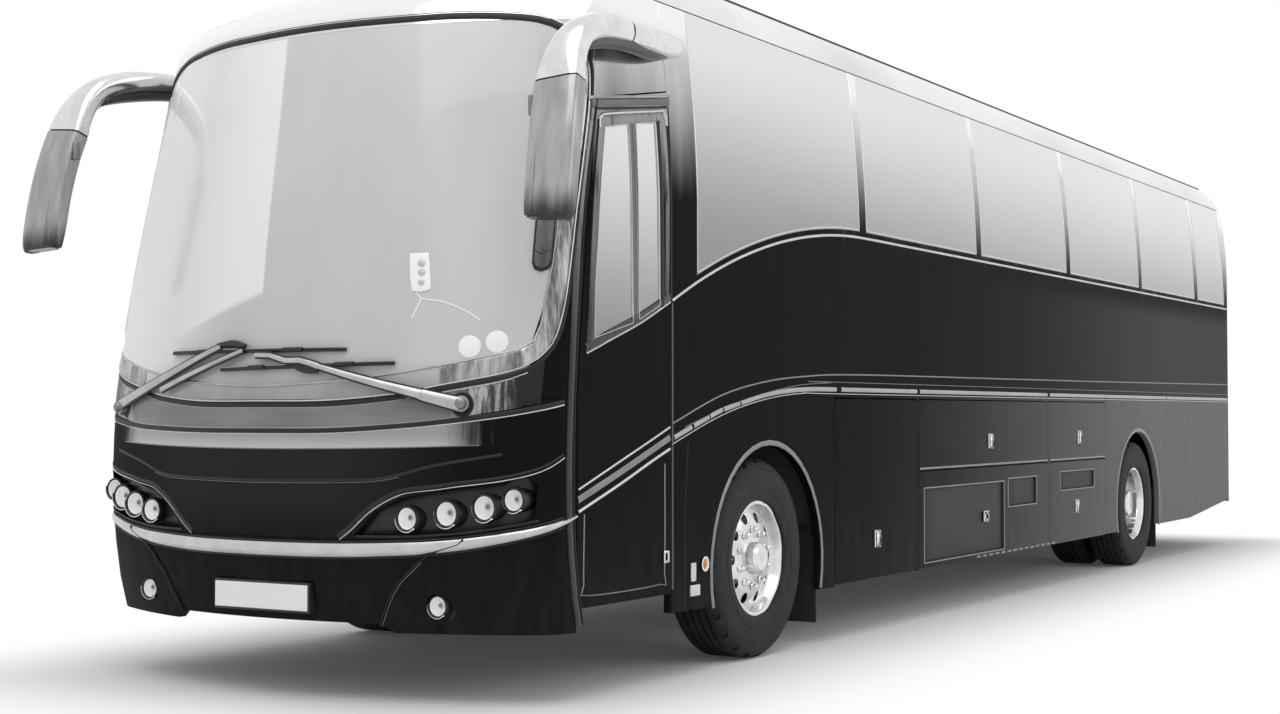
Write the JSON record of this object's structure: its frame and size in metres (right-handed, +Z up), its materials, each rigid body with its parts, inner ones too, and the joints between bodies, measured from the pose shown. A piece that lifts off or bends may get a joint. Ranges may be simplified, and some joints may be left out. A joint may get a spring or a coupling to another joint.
{
  "type": "coach bus",
  "caption": "Gloss black touring coach with raked screen, swooping belt line, plug door, side lockers, steered front wheels and twin rear wheels.",
  "frame": {"origin": "ground level under the middle of the coach's box", "axes": "+Z up, -Y the way the coach drives, +X the passenger door side"},
  "size_m": [3.1062, 12.2829, 3.4099],
  "materials": {
    "gloss_black": "deep gloss",
    "floor_grey": "studded, matt",
    "trim_plastic": "satin grain",
    "seat_cloth": "woven",
    "engine_block": "painted casting",
    "chassis_black": "satin",
    "lamp_clear": "clear moulded lens",
    "bay_lining": "brushed sheet",
    "mirror_plastic": "gloss",
    "flap_rubber": "matt",
    "plate_white": "blank",
    "lamp_red": "moulded lens",
    "tinted_glass": "tinted",
    "clear_glass": "clear",
    "cast_steel": "forged",
    "tyre": "moulded rubber",
    "alloy": "polished"
  },
  "bodies": {
    "coach_body": {"cab_side_right": "gloss_black", "cabin_floor": "floor_grey", "dashboard": "trim_plastic", "driver_seat": "seat_cloth", "engine": "engine_block", "entry_steps": "floor_grey", "front_axle": "chassis_black", "front_bumper": "gloss_black", "front_lamps": "lamp_clear", "front_panel": "gloss_black", "locker_frames": "chassis_black", "luggage_bay": "bay_lining", "mirror_left": "mirror_plastic", "mirror_right": "mirror_plastic", "mudflaps": "flap_rubber", "number_plates": "plate_white", "parcel_racks": "trim_plastic", "passenger_seats": "seat_cloth", "rear_axle": "chassis_black", "rear_bumper": "gloss_black", "rear_wall": "gloss_black", "roof_front_cap": "gloss_black", "roof_shell": "gloss_black", "screen_frame": "gloss_black", "side_wall_left": "gloss_black", "side_wall_right": "gloss_black", "skirt_left": "gloss_black", "skirt_right": "gloss_black", "tail_lamps": "lamp_red", "underframe": "chassis_black", "windows": "tinted_glass", "windscreen": "clear_glass", "wipers": "trim_plastic"},
    "knuckle_left": {"knuckle_left": "cast_steel"},
    "wheel_front_left": {"tyre_front_left": "tyre", "rim_front_left": "alloy"},
    "wheels_rear_left": {"tyres_rear_left": "tyre", "rims_rear_left": "alloy"},
    "knuckle_right": {"knuckle_right": "cast_steel"},
    "wheel_front_right": {"tyre_front_right": "tyre", "rim_front_right": "alloy"},
    "wheels_rear_right": {"tyres_rear_right": "tyre", "rims_rear_right": "alloy"},
    "steering_wheel": {"steering_wheel": "trim_plastic"},
    "door_arm": {"door_arm": "chassis_black"},
    "passenger_door": {"passenger_door": "gloss_black", "door_glass": "tinted_glass"},
    "locker_a": {"locker_a": "gloss_black"},
    "locker_b": {"locker_b": "gloss_black"},
    "locker_c": {"locker_c": "gloss_black"},
    "locker_d": {"locker_d": "gloss_black"},
    "locker_e": {"locker_e": "gloss_black"},
    "locker_r1": {"locker_r1": "gloss_black"},
    "locker_r2": {"locker_r2": "gloss_black"},
    "engine_lid": {"engine_lid": "gloss_black"}
  },
  "joints": [
    {"name": "steer_left", "type": "hinge", "parent": "coach_body", "child": "knuckle_left", "pos_m": [0.88, -3.8, 0.5], "axis": [0, 0, 1], "range_deg": [-38, 38]},
    {"name": "front_wheel_spin_left", "type": "hinge", "parent": "knuckle_left", "child": "wheel_front_left", "pos_m": [1.112, -3.8, 0.5], "axis": [1, 0, 0], "continuous": true},
    {"name": "rear_wheels_spin_left", "type": "hinge", "parent": "coach_body", "child": "wheels_rear_left", "pos_m": [1.112, 2.9, 0.5], "axis": [1, 0, 0], "continuous": true},
    {"name": "steer_right", "type": "hinge", "parent": "coach_body", "child": "knuckle_right", "pos_m": [-0.88, -3.8, 0.5], "axis": [0, 0, 1], "range_deg": [-38, 38]},
    {"name": "front_wheel_spin_right", "type": "hinge", "parent": "knuckle_right", "child": "wheel_front_right", "pos_m": [-1.112, -3.8, 0.5], "axis": [1, 0, 0], "continuous": true},
    {"name": "rear_wheels_spin_right", "type": "hinge", "parent": "coach_body", "child": "wheels_rear_right", "pos_m": [-1.112, 2.9, 0.5], "axis": [1, 0, 0], "continuous": true},
    {"name": "steering_wheel_turn", "type": "hinge", "parent": "coach_body", "child": "steering_wheel", "pos_m": [-0.7, -5.42, 1.6], "axis": [0, 0.5736, 0.8192], "range_deg": [-620, 620]},
    {"name": "door_arm_swing", "type": "hinge", "parent": "coach_body", "child": "door_arm", "pos_m": [1.178, -5.465, 1.01], "axis": [0, 0, -1], "range_deg": [0, 110]},
    {"name": "door_stays_parallel", "type": "hinge", "parent": "door_arm", "child": "passenger_door", "pos_m": [1.178, -5.015, 1.01], "axis": [0, 0, -1], "range_deg": [-110, 0]},
    {"name": "locker_a_hinge", "type": "hinge", "parent": "coach_body", "child": "locker_a", "pos_m": [1.275, -2.375, 1.31], "axis": [0, -1, 0], "range_deg": [0, 85]},
    {"name": "locker_b_hinge", "type": "hinge", "parent": "coach_body", "child": "locker_b", "pos_m": [1.275, -0.565, 1.31], "axis": [0, -1, 0], "range_deg": [0, 85]},
    {"name": "locker_c_hinge", "type": "hinge", "parent": "coach_body", "child": "locker_c", "pos_m": [1.275, 1.3275, 1.31], "axis": [0, -1, 0], "range_deg": [0, 85]},
    {"name": "locker_d_hinge", "type": "hinge", "parent": "coach_body", "child": "locker_d", "pos_m": [1.275, 1.3275, 0.88], "axis": [0, -1, 0], "range_deg": [0, 85]},
    {"name": "locker_e_hinge", "type": "hinge", "parent": "coach_body", "child": "locker_e", "pos_m": [1.275, -0.565, 0.88], "axis": [0, -1, 0], "range_deg": [0, 85]},
    {"name": "locker_r1_hinge", "type": "hinge", "parent": "coach_body", "child": "locker_r1", "pos_m": [-1.275, -1.73, 1.31], "axis": [0, 1, 0], "range_deg": [0, 85]},
    {"name": "locker_r2_hinge", "type": "hinge", "parent": "coach_body", "child": "locker_r2", "pos_m": [-1.275, 0.765, 1.31], "axis": [0, 1, 0], "range_deg": [0, 85]},
    {"name": "engine_lid_hinge", "type": "hinge", "parent": "coach_body", "child": "engine_lid", "pos_m": [0, 6.14, 1.48], "axis": [1, 0, 0], "range_deg": [0, 75]}
  ],
  "couplings": [
    {"joint": "steer_right", "follows": "steer_left", "ratio": 1},
    {"joint": "steering_wheel_turn", "follows": "steer_left", "ratio": 16},
    {"joint": "door_stays_parallel", "follows": "door_arm_swing", "ratio": -1}
  ]
}
